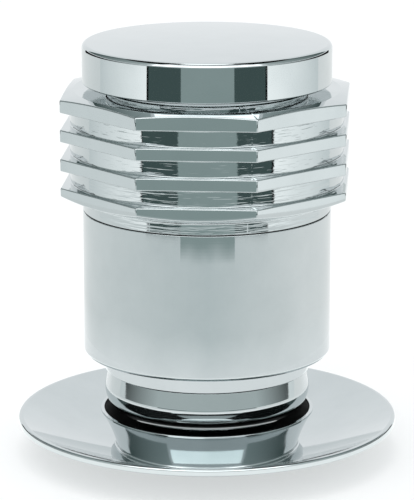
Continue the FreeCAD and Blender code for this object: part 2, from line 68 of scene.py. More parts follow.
# Steps along one turn of a coil, and sides of its wire.
COIL_STEPS = 48
WIRE_SIDES = 16

# Roundings in millimetres that turning and moulding leave on an edge.
SHARP = 0.1
BROKEN = 0.2
EASED = 0.3
SOFT = 0.4


# ------------------------------------------------------------------ small helpers


def linear(hex_colour: str) -> tuple[float, float, float, float]:
    """Turn an sRGB hex colour into a linear colour with full alpha.

    Args:
        hex_colour: six hex digits after a hash.

    Returns:
        Red, green, blue and alpha.
    """
    # The numbers are the sRGB standard's own: a straight foot, then a power curve.
    channels = [int(hex_colour[start:start + 2], 16) / 255 for start in (1, 3, 5)]
    red, green, blue = (c / 12.92 if c <= 0.04045 else ((c + 0.055) / 1.055) ** 2.4 for c in channels)
    return red, green, blue, 1.0


def add_node(tree: bpy.types.NodeTree, kind: str, settings: dict | None = None,
             inputs: dict | None = None) -> bpy.types.Node:
    """Add a node with its settings, and set or link its inputs.

    Args:
        tree: the tree that gets the node.
        kind: Blender's name for the node type.
        settings: properties of the node by name.
        inputs: values, or output sockets to link, by input name or number.

    Returns:
        The new node.
    """
    node = tree.nodes.new(kind)
    for name, value in (settings or {}).items():
        setattr(node, name, value)
    for name, value in (inputs or {}).items():
        socket = node.inputs[name]
        if isinstance(value, bpy.types.NodeSocket):
            tree.links.new(value, socket)
        else:
            socket.default_value = value
    return node


def add_object(name: str, data: bpy.types.ID) -> bpy.types.Object:
    """Put a mesh, a lamp or a camera in the scene as a new object."""
    made = bpy.data.objects.new(name, data)
    bpy.context.scene.collection.objects.link(made)
    return made


def evaluated_mesh(host: bpy.types.Object) -> bpy.types.Mesh:
    """Return an object's mesh as its modifiers leave it."""
    graph = bpy.context.evaluated_depsgraph_get()
    return bpy.data.meshes.new_from_object(host.evaluated_get(graph), depsgraph=graph)


# ------------------------------------------------------------------ finishes


@dataclass(frozen=True)
class Finish:
    """A material: what it is, its colour and how its surface was made."""

    name: str
    slot: str
    colour: str
    roughness: float
    metallic: float = 0.0

    def material(self) -> bpy.types.Material:
        """Return this finish as a Blender material, made once."""
        known = bpy.data.materials.get(self.name)
        if known is not None:
            return known
        made = bpy.data.materials.new(self.name)
        made.use_nodes = True
        shader = made.node_tree.nodes["Principled BSDF"]
        shader.inputs["Base Color"].default_value = linear(self.colour)
        shader.inputs["Metallic"].default_value = self.metallic
        shader.inputs["Roughness"].default_value = self.roughness
        self.pattern(made.node_tree, shader)
        return made

    def pattern(self, tree: bpy.types.NodeTree, shader: bpy.types.Node) -> None:
        """Add the surface's own detail. A plain finish has none."""


@dataclass(frozen=True)
class TurnedMetal(Finish):
    """Metal turned on a lathe: rings around the axis, a slow waviness and a faint uneven haze."""

    ring_mm: float = 0.45
    ring_depth_mm: float = 0.0006
    wave_mm: float = 9.0
    wave_depth_mm: float = 0.012
    haze: float = 0.03
    haze_mm: float = 7.0
    haze_from: float = 0.35
    haze_to: float = 0.75
    shade: str = "#c4cbcc"
    groove_radius_mm: float = 0.0
    groove_mm: float = 0.5
    groove_length: float = 14.0
    groove_depth_mm: float = 0.04
    groove_blend_mm: float = 0.1

    def pattern(self, tree: bpy.types.NodeTree, shader: bpy.types.Node) -> None:
        """Rings follow radius and height, so they run round the axis on sides and faces alike."""
        place = add_node(tree, "ShaderNodeTexCoord").outputs["Object"]
        apart = add_node(tree, "ShaderNodeSeparateXYZ", inputs={0: place})
        flat = add_node(tree, "ShaderNodeCombineXYZ", inputs={0: apart.outputs[0], 1: apart.outputs[1]})
        radius = add_node(tree, "ShaderNodeVectorMath", {"operation": "LENGTH"}, {0: flat.outputs[0]})
        turned = add_node(tree, "ShaderNodeCombineXYZ",
                          inputs={0: radius.outputs["Value"], 2: apart.outputs[2]})
        rings = add_node(tree, "ShaderNodeTexNoise", inputs={
            "Vector": turned.outputs[0], "Scale": 1 / (self.ring_mm * MM), "Detail": 3.0})
        waves = add_node(tree, "ShaderNodeTexNoise", inputs={
            "Vector": place, "Scale": 1 / (self.wave_mm * MM), "Detail": 1.0})
        haze = add_node(tree, "ShaderNodeTexNoise", inputs={
            "Vector": place, "Scale": 1 / (self.haze_mm * MM), "Detail": 5.0, "Roughness": 0.6})
        rough = add_node(tree, "ShaderNodeMapRange", inputs={
            "Value": haze.outputs["Fac"], "From Min": self.haze_from, "From Max": self.haze_to,
            "To Min": self.roughness, "To Max": self.roughness + self.haze})
        tint = add_node(tree, "ShaderNodeMix", {"data_type": "RGBA"}, {
            "Factor": haze.outputs["Fac"], "A": linear(self.colour), "B": linear(self.shade)})
        slow = add_node(tree, "ShaderNodeBump", inputs={
            "Height": waves.outputs["Fac"], "Distance": self.wave_depth_mm * MM})
        fine = add_node(tree, "ShaderNodeBump", inputs={
            "Height": rings.outputs["Fac"], "Distance": self.ring_depth_mm * MM,
            "Normal": slow.outputs["Normal"]})
        if self.groove_radius_mm:
            fine = self.streaks(tree, place, radius.outputs["Value"], fine.outputs["Normal"])
        tree.links.new(tint.outputs["Result"], shader.inputs["Base Color"])
        tree.links.new(rough.outputs["Result"], shader.inputs["Roughness"])
        tree.links.new(fine.outputs["Normal"], shader.inputs["Normal"])

    def streaks(self, tree: bpy.types.NodeTree, place: bpy.types.NodeSocket,
                radius: bpy.types.NodeSocket, normal: bpy.types.NodeSocket) -> bpy.types.Node:
        """Add long shallow tool marks around the axis, on the surfaces inside a radius.

        Args:
            tree: the material's tree.
            place: the position on the object.
            radius: the distance from the axis.
            normal: the normal that the marks are laid over.

        Returns:
            The bump node that carries both.
        """
        squeeze = 1 / self.groove_length
        drawn = add_node(tree, "ShaderNodeVectorMath", {"operation": "MULTIPLY"}, {
            0: place, 1: (squeeze, squeeze, 1.0)})
        marks = add_node(tree, "ShaderNodeTexNoise", inputs={
            "Vector": drawn.outputs[0], "Scale": 1 / (self.groove_mm * MM), "Detail": 2.0})
        inside = add_node(tree, "ShaderNodeMapRange", inputs={
            "Value": radius, "From Min": self.groove_radius_mm * MM,
            "From Max": (self.groove_radius_mm - self.groove_blend_mm) * MM})
        return add_node(tree, "ShaderNodeBump", inputs={
            "Height": marks.outputs["Fac"], "Distance": self.groove_depth_mm * MM,
            "Strength": inside.outputs["Result"], "Normal": normal})


@dataclass(frozen=True)
class SpunSheet(TurnedMetal):
    """Plated spun sheet, with painted shade where the mesh is marked: a dark dull colour that stands in for
    the shadow inside the collar.
    """

    # Painted shade: the dark dull colour and roughness that stand in for the shadow inside the collar.
    painted_shade: str = "#1d1f1e"
    painted_shade_roughness: float = 0.45

    def pattern(self, tree: bpy.types.NodeTree, shader: bpy.types.Node) -> None:
        """Lay the painted shade over the plated pattern."""
        super().pattern(tree, shader)
        # mark_a carries the mask of the painted shade, set on the inside of the collar.
        painted_shade = add_node(tree, "ShaderNodeAttribute", {"attribute_name": "mark_a"}).outputs["Fac"]
        for name, value, kind in (("Base Color", linear(self.painted_shade), "RGBA"),
                                  ("Roughness", self.painted_shade_roughness, "FLOAT")):
            plated = shader.inputs[name].links[0].from_socket
            blend = add_node(tree, "ShaderNodeMix", {"data_type": kind}, {"Factor": painted_shade})
            near, far = [socket for socket in blend.inputs if socket.enabled][-2:]
            tree.links.new(plated, near)
            far.default_value = value
            result = next(socket for socket in blend.outputs if socket.enabled)
            tree.links.new(result, shader.inputs[name])


@dataclass(frozen=True)
class RolledSteel(Finish):
    """Sheet and wire drawn or rolled one way: long fine scratches along X."""

    grain_mm: float = 0.12
    grain_length: float = 30.0
    depth_mm: float = 0.004
    smooth_share: float = 0.7
    rough_share: float = 1.5

    def pattern(self, tree: bpy.types.NodeTree, shader: bpy.types.Node) -> None:
        """Stretch fine noise along the rolling direction into roughness and relief."""
        place = add_node(tree, "ShaderNodeTexCoord").outputs["Object"]
        stretch = add_node(tree, "ShaderNodeMapping", inputs={
            "Vector": place, "Scale": Vector((1 / self.grain_length, 1.0, 1.0))})
        grain = add_node(tree, "ShaderNodeTexNoise", inputs={
            "Vector": stretch.outputs[0], "Scale": 1 / (self.grain_mm * MM), "Detail": 4.0})
        rough = add_node(tree, "ShaderNodeMapRange", inputs={
            "Value": grain.outputs["Fac"], "To Min": self.roughness * self.smooth_share,
            "To Max": self.roughness * self.rough_share})
        relief = add_node(tree, "ShaderNodeBump", inputs={
            "Height": grain.outputs["Fac"], "Distance": self.depth_mm * MM})
        tree.links.new(rough.outputs["Result"], shader.inputs["Roughness"])
        tree.links.new(relief.outputs["Normal"], shader.inputs["Normal"])


@dataclass(frozen=True)
class Moulded(Finish):
    """Plastic, rubber or fibre: a fine even skin and a faint mottle of a second colour."""

    mottle: str = "#808080"
    skin_mm: float = 0.25
    skin_depth_mm: float = 0.01
    mottle_mm: float = 4.0

    def pattern(self, tree: bpy.types.NodeTree, shader: bpy.types.Node) -> None:
        """Mix two close colours slowly and raise a fine skin."""
        place = add_node(tree, "ShaderNodeTexCoord").outputs["Object"]
        cloud = add_node(tree, "ShaderNodeTexNoise", inputs={
            "Vector": place, "Scale": 1 / (self.mottle_mm * MM), "Detail": 4.0})
        skin = add_node(tree, "ShaderNodeTexNoise", inputs={
            "Vector": place, "Scale": 1 / (self.skin_mm * MM), "Detail": 2.0})
        tint = add_node(tree, "ShaderNodeMix", {"data_type": "RGBA"}, {
            "Factor": cloud.outputs["Fac"], "A": linear(self.colour), "B": linear(self.mottle)})
        relief = add_node(tree, "ShaderNodeBump", inputs={
            "Height": skin.outputs["Fac"], "Distance": self.skin_depth_mm * MM})
        tree.links.new(tint.outputs["Result"], shader.inputs["Base Color"])
        tree.links.new(relief.outputs["Normal"], shader.inputs["Normal"])


# Bright nickel-chrome plate on turned and polished brass: a near-perfect cold mirror.
CHROME = TurnedMetal("chrome_plate_polished", "chrome_plate", "#d1d7d8", 0.035, 1.0)
# The same plate on the finned head, whose grooves keep coarse tool rings that streak reflections.
CHROME_FINNED = TurnedMetal("chrome_plate_over_turned_grooves", "chrome_plate", "#d1d7d8", 0.035, 1.0,
                            groove_radius_mm=25.9)
# The same plate on spun sheet: softer rings, and painted shade inside the collar: a dull dark colour for its
# shadowed pit.
CHROME_SPUN = SpunSheet("chrome_plate_spun_sheet", "chrome_plate", "#d1d7d8", 0.05, 1.0,
                        ring_mm=0.8, ring_depth_mm=0.0008, wave_mm=14.0, wave_depth_mm=0.02)
# Free-cutting brass, turned and left bare: warm, with clear tool rings.
BRASS = TurnedMetal("brass_turned", "brass", "#c9a25c", 0.2, 1.0, ring_mm=0.3, ring_depth_mm=0.003,
                    haze=0.12, shade="#a8823f")
# Stainless spring strip and wire, rolled or drawn: satin with long scratches.
STAINLESS = RolledSteel("stainless_steel_rolled", "stainless_steel", "#b4b6b8", 0.28, 1.0)
# EPDM rubber, moulded: deep matte black with a grey bloom.
EPDM = Moulded("epdm_rubber_moulded", "epdm_rubber", "#161616", 0.7, mottle="#262626")
# Vulcanised fibre, punched from red sheet.
FIBRE = Moulded("vulcanised_fibre_red", "red_fibre", "#7a241a", 0.6, mottle="#8f3325", skin_mm=0.5)
# Polypropylene, injection moulded, natural: waxy off-white.
POLYPROPYLENE = Moulded("polypropylene_moulded", "polypropylene", "#e6e4da", 0.4, mottle="#dad7ca",
                        skin_mm=0.4, skin_depth_mm=0.004, mottle_mm=9.0)
# Matte paper under the object: pale and even, with no sheen.
PAPER = Moulded("studio_paper", "", "#bcbcbc", 0.9, mottle="#b8b8b8", mottle_mm=300.0)


# ------------------------------------------------------------------ turned meshes


@dataclass(frozen=True)
class Corner:
    """A corner of a turned section in millimetres.

    bow is the sagitta of the side that leaves it, and mark is a pair of numbers that its vertices carry.
    """

    radius: float
    height: float
    rounding: float = 0.0
    bow: float = 0.0
    mark: tuple[float, float] | None = None


@dataclass(frozen=True)
class Side:
    """One straight step of a section: where it starts, and the outward normals at its two ends.

    mark is the pair of numbers that the vertices at its start carry.
    """

    start: Vector
    first: Vector
    last: Vector
    mark: tuple[float, float] | None = None


def arc_sides(centre: Vector, start: Vector, sweep: float, steps: int, outward: float) -> list[Side]:
    """Cut an arc into sides whose normals are the arc's own.

    Args:
        centre: the arc's centre.
        start: its first point.
        sweep: its signed angle in radians, positive anticlockwise.
        steps: how many sides.
        outward: 1 where the normal points away from the centre, -1 where it points to it.

    Returns:
        The sides in order.
    """
    spoke = start - centre
    spokes = [Vector((spoke.x * math.cos(a) - spoke.y * math.sin(a),
                      spoke.x * math.sin(a) + spoke.y * math.cos(a)))
              for a in (sweep * step / steps for step in range(steps + 1))]
    normals = [s.normalized() * outward for s in spokes]
    return [Side(centre + spokes[i], normals[i], normals[i + 1]) for i in range(steps)]


def straight_or_bowed(start: Vector, end: Vector, bow: float) -> list[Side]:
    """Join two points by a straight side, or by an arc where it has a bow.

    Args:
        start: the first point.
        end: the last point.
        bow: how far the side's middle stands out of the section, negative inwards.

    Returns:
        The sides in order.
    """
    along = end - start
    normal = Vector((along.y, -along.x)).normalized()
    if bow == 0:
        return [Side(start, normal, normal)]
    radius = (along.length ** 2 / 4 + bow ** 2) / (2 * abs(bow))
    outward = math.copysign(1.0, bow)
    centre = (start + end) / 2 + normal * (bow - outward * radius)
    sweep = 2 * math.asin(along.length / 2 / radius) * outward
    return arc_sides(centre, start, sweep, BOW_STEPS, outward)


def section_sides(corners: list[Corner], round_steps: int) -> list[Side]:
    """Turn a closed outline into sides, with its rounded corners cut into steps.

    Args:
        corners: the outline's corners, anticlockwise.
        round_steps: how many steps a rounded corner has.

    Returns:
        The sides in order.
    """
    points = [Vector((corner.radius, corner.height)) for corner in corners]
    count = len(points)
    starts, ends, rounds = list(points), list(points), {}
    for index, corner in enumerate(corners):
        if corner.rounding == 0:
            continue
        here = points[index]
        incoming = (here - points[index - 1]).normalized()
        outgoing = (points[(index + 1) % count] - here).normalized()
        turn = incoming.angle_signed(outgoing) * -1
        reach = corner.rounding * math.tan(abs(turn) / 2)
        ends[index] = here - incoming * reach
        starts[index] = here + outgoing * reach
        outward = math.copysign(1.0, turn)
        centre = ends[index] - Vector((incoming.y, -incoming.x)) * corner.rounding * outward
        rounds[index] = arc_sides(centre, ends[index], turn, round_steps, outward)
    sides = []
    for index in range(count):
        sides += rounds.get(index, [])
        run = straight_or_bowed(starts[index], ends[(index + 1) % count], corners[index].bow)
        run[0] = replace(run[0], mark=corners[index].mark)
        sides += run
    return sides


def turned(name: str, corners: list[Corner], columns: int = COLUMNS,
           angles: list[float] | None = None, round_steps: int = ROUND_STEPS) -> bpy.types.Object:
    """Revolve a closed section about Z, with the section's own normals.

    Args:
        name: the piece's name.
        corners: the section's corners, anticlockwise with the radius to the right.
        columns: how many columns of faces go round.
        angles: the columns' angles in radians, where they aren't even.
        round_steps: how many steps a rounded corner has.

    Returns:
        The piece as an object at the origin.
    """
    sides = section_sides(corners, round_steps)
    spins = angles or [2 * math.pi * column / columns for column in range(columns)]
    count = len(spins)
    vertices: list[tuple[float, float, float]] = []
    marks: list[tuple[float, float] | None] = []
    rings: list[list[int]] = []
    for side in sides:
        radius, height = side.start.x * MM, side.start.y * MM
        around = spins if radius > 0 else spins[:1]
        first = len(vertices)
        rings.append([first + (step if radius > 0 else 0) for step in range(count)])
        vertices += [(radius * math.cos(a), radius * math.sin(a), height) for a in around]
        marks += [side.mark] * len(around)
    faces, normals = [], []
    for index, side in enumerate(sides):
        low, high = rings[index], rings[(index + 1) % len(sides)]
        if low[0] == low[1] and high[0] == high[1]:
            continue
        for column, angle in enumerate(spins):
            after = (column + 1) % count
            spots = [(low[column], side.first, angle), (low[after], side.first, spins[after]),
                     (high[after], side.last, spins[after]), (high[column], side.last, angle)]
            if spots[0][0] == spots[1][0]:
                del spots[1]
            elif spots[2][0] == spots[3][0]:
                del spots[3]
            faces.append([spot[0] for spot in spots])
            normals += [(n.x * math.cos(a), n.x * math.sin(a), n.y) for _, n, a in spots]
    mesh = bpy.data.meshes.new(name)
    mesh.from_pydata(vertices, [], faces)
    mesh.shade_smooth()
    mesh.normals_split_custom_set(normals)
    for name_of, values in (("marked", [float(mark is not None) for mark in marks]),
                            ("mark_a", [mark[0] if mark else 0.0 for mark in marks]),
                            ("mark_b", [mark[1] if mark else 0.0 for mark in marks])):
        mesh.attributes.new(name_of, "FLOAT", "POINT").data.foreach_set("value", values)
    return add_object(name, mesh)


# ------------------------------------------------------------------ node trees


class Tree:
    """A Geometry Nodes tree with named inputs that ends in Realize Instances and Set Material."""

    def __init__(self, name: str, with_mesh: bool) -> None:
        """Start the tree, with a mesh input where it changes one."""
        self.tree = bpy.data.node_groups.new(name, "GeometryNodeTree")
        face = self.tree.interface
        face.new_socket("Geometry", in_out="OUTPUT", socket_type="NodeSocketGeometry")
        if with_mesh:
            face.new_socket("Geometry", in_out="INPUT", socket_type="NodeSocketGeometry")
        self.group_in = add_node(self.tree, "NodeGroupInput")

    def size(self, name: str) -> bpy.types.NodeSocket:
        """Add a named size to the tree's inputs and return its socket."""
        self.tree.interface.new_socket(name, in_out="INPUT", socket_type="NodeSocketFloat")
        return self.group_in.outputs[name]

    def math(self, operation: str, *values: float | bpy.types.NodeSocket) -> bpy.types.NodeSocket:
        """Add one step of arithmetic and return its result."""
        step = add_node(self.tree, "ShaderNodeMath", {"operation": operation}, dict(enumerate(values)))
        return step.outputs[0]

    def attribute(self, name: str) -> bpy.types.NodeSocket:
        """Read a number that each vertex carries."""
        node = add_node(self.tree, "GeometryNodeInputNamedAttribute", {"data_type": "FLOAT"},
                        {"Name": name})
        return node.outputs["Attribute"]

    def around(self) -> tuple[bpy.types.Node, bpy.types.NodeSocket]:
        """Read each vertex's place, split in three, and its angle around the axis."""
        place = add_node(self.tree, "GeometryNodeInputPosition").outputs[0]
        apart = add_node(self.tree, "ShaderNodeSeparateXYZ", inputs={0: place})
        return apart, self.math("ARCTAN2", apart.outputs[1], apart.outputs[0])

    def finish(self, geometry: bpy.types.NodeSocket, material: bpy.types.Material) -> None:
        """End the tree."""
        real = add_node(self.tree, "GeometryNodeRealizeInstances", inputs={"Geometry": geometry})
        dressed = add_node(self.tree, "GeometryNodeSetMaterial", inputs={
            "Geometry": real.outputs[0], "Material": material})
        add_node(self.tree, "NodeGroupOutput", inputs={0: dressed.outputs[0]})

    def make(self, name: str, sizes: dict[str, float],
             base: bpy.types.Object | None = None) -> bpy.types.Object:
        """Run the tree and return its result as a plain mesh object.

        Args:
            name: the new piece's name.
            sizes: the tree's sizes by name, in metres.
            base: the object whose mesh it changes, which is removed.

        Returns:
            The new piece.
        """
        host = base or add_object(name, bpy.data.meshes.new(name))
        modifier = host.modifiers.new("shape", "NODES")
        modifier.node_group = self.tree
        for item in self.tree.interface.items_tree:
            if item.in_out == "INPUT" and item.name in sizes:
                modifier[item.identifier] = float(sizes[item.name])
        mesh = evaluated_mesh(host)
        bpy.data.objects.remove(host)
        mesh.name = name
        return add_object(name, mesh)


# A thread's wave is cut this much too deep and held at its full depth, which flattens the roots.
ROOT_FLATTENING = 1.3


def thread_tree(material: bpy.types.Material) -> Tree:
    """Make the tree that cuts a screw thread: a wave that climbs one pitch a turn.

    Each vertex carries its share of the full depth.

    Args:
        material: the finished piece's material.

    Returns:
        The tree, with the sizes Pitch and Depth.
    """
    made = Tree("screw_thread", with_mesh=True)
    pitch, depth = made.size("Pitch"), made.size("Depth")
    apart, around = made.around()
    turns = made.math("DIVIDE", around, 2 * math.pi)
    phase = made.math("FRACT", made.math("SUBTRACT", made.math("DIVIDE", apart.outputs[2], pitch),
                                         turns))
    valley = made.math("SUBTRACT", 1.0, made.math("ABSOLUTE", made.math(
        "MULTIPLY_ADD", phase, 2.0, -1.0)))
    deepened = made.math("MULTIPLY", valley, ROOT_FLATTENING)
    cut = made.math("MULTIPLY", made.math("MINIMUM", deepened, 1.0), depth)
    cut = made.math("MULTIPLY", cut, made.attribute("mark_a"))
    flat = add_node(made.tree, "ShaderNodeCombineXYZ", inputs={0: apart.outputs[0], 1: apart.outputs[1]})
    outward = add_node(made.tree, "ShaderNodeVectorMath", {"operation": "NORMALIZE"},
                       {0: flat.outputs[0]})
    move = add_node(made.tree, "ShaderNodeVectorMath", {"operation": "SCALE"}, {
        0: outward.outputs[0], "Scale": made.math("MULTIPLY", cut, -1.0)})
    moved = add_node(made.tree, "GeometryNodeSetPosition", inputs={
        "Geometry": made.group_in.outputs["Geometry"], "Offset": move.outputs[0]})
    made.finish(moved.outputs[0], material)
    return made


def milled_flats_tree(material: bpy.types.Material, flats: int) -> Tree:
    """Make the tree that mills flats: each edge vertex moves in to the side of a polygon.

    The vertex carries its inset from the flat, and the slope of the chamfer that it lies on.

    Args:
        material: the finished piece's material.
        flats: how many sides the polygon has.

    Returns:
        The tree, with the sizes Apothem, Turned Radius and Corner Round.
    """
    made = Tree("milled_flats", with_mesh=True)
    apothem, turned_radius = made.size("Apothem"), made.size("Turned Radius")
    corner_round = made.size("Corner Round")
    half = math.pi / flats
    apart, around = made.around()
    local = made.math("ABSOLUTE", made.math("WRAP", around, half, -half))
    on_flat = made.math("DIVIDE", apothem, made.math("COSINE", local))
    inner = made.math("SUBTRACT", apothem, corner_round)
    centre = made.math("DIVIDE", inner, math.cos(half))
    from_corner = made.math("SUBTRACT", half, local)
    offset = made.math("MULTIPLY", centre, made.math("SINE", from_corner))
    under = made.math("SUBTRACT", made.math("POWER", corner_round, 2.0), made.math("POWER", offset, 2.0))
    on_round = made.math("ADD", made.math("MULTIPLY", centre, made.math("COSINE", from_corner)),
                         made.math("SQRT", made.math("MAXIMUM", under, 0.0)))
    tangent = made.math("ARCTANGENT", made.math("DIVIDE", made.math(
        "MULTIPLY", inner, math.tan(half)), apothem))
    in_corner = made.math("GREATER_THAN", local, tangent)
    limit = add_node(made.tree, "GeometryNodeSwitch", {"input_type": "FLOAT"}, {
        "Switch": in_corner, "False": on_flat, "True": on_round}).outputs[0]
    radius = made.math("SUBTRACT", limit, made.attribute("mark_a"))
    drop = made.math("MULTIPLY", made.math("SUBTRACT", turned_radius, limit), made.attribute("mark_b"))
    new_place = add_node(made.tree, "ShaderNodeCombineXYZ", inputs={
        0: made.math("MULTIPLY", radius, made.math("COSINE", around)),
        1: made.math("MULTIPLY", radius, made.math("SINE", around)),
        2: made.math("ADD", apart.outputs[2], drop)})
    moved = add_node(made.tree, "GeometryNodeSetPosition", inputs={
        "Geometry": made.group_in.outputs["Geometry"], "Selection": made.attribute("marked"),
        "Position": new_place.outputs[0]})
    made.finish(moved.outputs[0], material)
    return made


def coil_tree(material: bpy.types.Material) -> Tree:
    """Make the tree that winds a spring: round wire swept along a spiral.

    Args:
        material: the wire's material.

    Returns:
        The tree, with the sizes Radius, Wire Radius, Length, Base and Turns.
    """
    made = Tree("wound_coil", with_mesh=False)
    radius, wire = made.size("Radius"), made.size("Wire Radius")
    height, base, turns = made.size("Length"), made.size("Base"), made.size("Turns")
    path = add_node(made.tree, "GeometryNodeCurveSpiral", inputs={
        "Resolution": COIL_STEPS, "Rotations": turns, "Start Radius": radius, "End Radius": radius,
        "Height": height})
    section = add_node(made.tree, "GeometryNodeCurvePrimitiveCircle", inputs={
        "Resolution": WIRE_SIDES, "Radius": wire})
    body = add_node(made.tree, "GeometryNodeCurveToMesh", inputs={
        "Curve": path.outputs[0], "Profile Curve": section.outputs[0], "Fill Caps": True})
    lift = add_node(made.tree, "ShaderNodeCombineXYZ", inputs={2: base})
    placed = add_node(made.tree, "GeometryNodeTransform", inputs={
        "Geometry": body.outputs[0], "Translation": lift.outputs[0]})
    made.finish(placed.outputs[0], material)
    return made


# ------------------------------------------------------------------ sub-assemblies


@dataclass(frozen=True)
class Span:
    """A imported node's outer radius and heights in millimetres."""

    radius: float
    base: float
    top: float


def span(node: str) -> Span:
    """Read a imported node's radius along +X and its heights."""
    low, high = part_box(node)
    return Span(high.x / MM, low.z / MM, high.z / MM)


def dress(piece: bpy.types.Object, finish: Finish, body: str, *nodes: str) -> None:
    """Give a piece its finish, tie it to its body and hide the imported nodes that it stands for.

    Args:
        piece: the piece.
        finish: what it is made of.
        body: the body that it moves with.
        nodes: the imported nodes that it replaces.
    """
    piece.data.materials.clear()
    piece.data.materials.append(finish.material())
    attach(piece, body)
    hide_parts(*nodes)
    LOG.info("%s rides on %s in %s", piece.name, body, finish.name)


def dress_node(node: str, finish: Finish) -> None:
    """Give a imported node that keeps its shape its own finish."""
    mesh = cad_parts[node].data
    mesh.materials.clear()
    mesh.materials.append(finish.material())
    LOG.info("%s keeps its shape in %s", node, finish.name)


def build_ring(node: str, name: str, bore: float, rounding: float, finish: Finish,
               body: str = "vent_body", columns: int = COLUMNS) -> None:
    """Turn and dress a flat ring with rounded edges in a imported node's place.

    Args:
        node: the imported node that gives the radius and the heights.
        name: the piece's name.
        bore: the radius of its hole in millimetres.
        rounding: the rounding of its four edges in millimetres.
        finish: what it is made of.
        body: the body that it moves with.
        columns: how many columns of faces go round.
    """
    size = span(node)
    outline = ((bore, size.base), (size.radius, size.base), (size.radius, size.top), (bore, size.top))
    corners = [Corner(radius, height, rounding) for radius, height in outline]
    dress(turned(name, corners, columns=columns), finish, body, node)


@dataclass
class Rosette:
    """The spun wall plate: a dish, a rolled rim and a collar that flares around the tail."""

    rim_base: float = 5.85
    rim_top: float = 7.25
    rim_width: float = 0.8
    rim_under_width: float = 1.2
    sheet: float = 1.0
    hole: float = 15.7
    fold: float = 1.4
    foot: float = 1.2
    lip_radius: float = 20.0
    lip_inner: float = 19.35
    lip_base: float = 8.0
    collar_bow: float = 0.28
    edge: float = 0.12
    lip_thinning: float = 0.12
    lip_land: float = 0.3
    dish_bow: float = 0.35
    hole_round: float = 0.25
    rim_rounds: tuple[float, float, float, float] = (0.4, 0.45, 0.5, 0.35)

    def build(self) -> None:
        """Spin the sheet and dress it, with painted shade on the inside of the collar."""
        size = span("rosette")
        under, outer, upper, inner = self.rim_rounds
        piece = turned("rosette_dish", [
            Corner(self.hole, size.base, self.hole_round),
            Corner(self.hole + self.fold, size.base, self.fold, bow=self.dish_bow),
            Corner(size.radius - self.rim_under_width, self.rim_base, under),
            Corner(size.radius, self.rim_base, outer),
            Corner(size.radius, self.rim_top, upper),
            Corner(size.radius - self.rim_width, self.rim_top, inner, bow=-self.dish_bow),
            Corner(self.hole + self.foot, self.sheet, EASED, bow=-self.collar_bow),
            Corner(self.lip_radius, self.lip_base, self.edge),
            Corner(self.lip_radius, size.top, self.edge),
            Corner(self.lip_inner, size.top, self.edge),
            Corner(self.lip_inner - self.lip_thinning, size.top - self.lip_land, bow=self.collar_bow),
            Corner(self.hole, self.sheet, EASED),
        ], columns=COLUMNS_LARGE)
        # The inside of the collar is marked for painted shade, a dark colour that stands in for its shadow.
        mark_painted_shade(piece, self.lip_radius * MM)
        dress(piece, CHROME_SPUN, "rosette", "rosette")


# A normal looks at the axis where this much of it points that way.
INWARD_SHARE = 0.3


def mark_painted_shade(piece: bpy.types.Object, outer: float) -> None:
    """Mark every vertex within a radius whose normal looks at the axis, where the painted shade goes."""
    store = piece.data.attributes["mark_a"].data
    for vertex in piece.data.vertices:
        radius = math.hypot(vertex.co.x, vertex.co.y)
        away = vertex.normal.x * vertex.co.x + vertex.normal.y * vertex.co.y
        store[vertex.index].value = float(away < -INWARD_SHARE * radius and radius < outer)


@dataclass
class InletConnection:
    """The connector with its G 3/4 tail, the strainer in its bore and the seal on its shoulder."""

    bore: float = 9.5
    tail_radius: float = 13.2205
    thread_pitch: float = 1.814
    thread_depth: float = 1.0
    thread_top: float = 7.0
    thread_fade: float = 4.4
    thread_lead_in: float = 0.5
    thread_run_out: float = 0.6
    chamfer: float = 0.9
    relief: float = 1.2
    shoulder_base: float = 8.1
    shoulder_round: float = 4.4
    shoulder_widest: float = 12.9
    shoulder_blend: float = 3.0
    shoulder_top: float = 16.1
    shoulder_top_radius: float = 18.5
    spigot_radius: float = 13.8
    seat_radius: float = 12.0
    seat_base: float = 17.0
    seal_bore: float = 14.1
    keeper_width: float = 2.2
    stations: int = 60
    round_steps: int = 24

    def tail(self) -> list[Corner]:
        """Return the tail's side, each station marked with its share of the thread's full depth."""
        corners = []
        for step in range(self.stations + 1):
            height = self.chamfer + (self.thread_top - self.chamfer) * step / self.stations
            lead_in = (height - self.chamfer) / self.thread_lead_in
            run_out = (self.thread_fade + self.thread_run_out - height) / self.thread_run_out
            share = max(0.0, min(1.0, lead_in, run_out))
            corners.append(Corner(self.tail_radius, height, mark=(share, 0.0)))
        return corners

    def connector(self) -> bpy.types.Object:
        """Turn the connector and cut its tail thread."""
        size = span("inlet_connector")
        neck = self.tail_radius - self.relief
        blank = turned("inlet_connector_body", [
            Corner(self.bore, size.base, EASED),
            Corner(self.tail_radius - self.chamfer, size.base),
            *self.tail(),
            Corner(neck, self.thread_top, BROKEN),
            Corner(neck, self.shoulder_base, BROKEN),
            Corner(size.radius, self.shoulder_base, self.shoulder_round),
            Corner(size.radius, self.shoulder_widest, self.shoulder_blend),
            Corner(self.shoulder_top_radius, self.shoulder_top, SHARP),
            Corner(self.spigot_radius, self.shoulder_top),
            Corner(self.spigot_radius, size.top, EASED),
            Corner(self.seat_radius, size.top, BROKEN),
            Corner(self.seat_radius, self.seat_base),
            Corner(self.bore, self.seat_base, BROKEN),
        ], round_steps=self.round_steps)
        tree = thread_tree(CHROME.material())
        return tree.make("inlet_connector_body",
                         {"Pitch": self.thread_pitch * MM, "Depth": self.thread_depth * MM}, blank)

    def build(self) -> None:
        """Build and dress the connector, its seal and its strainer."""
        dress(self.connector(), CHROME, "vent_body", "inlet_connector")
        build_ring("connector_seal", "connector_seal_ring", self.seal_bore, SHARP, EPDM)
        keeper_bore = span("strainer_retaining_ring").radius - self.keeper_width
        build_ring("strainer_retaining_ring", "strainer_keeper", keeper_bore, BROKEN, STAINLESS)
        dress_node("inlet_strainer", STAINLESS)


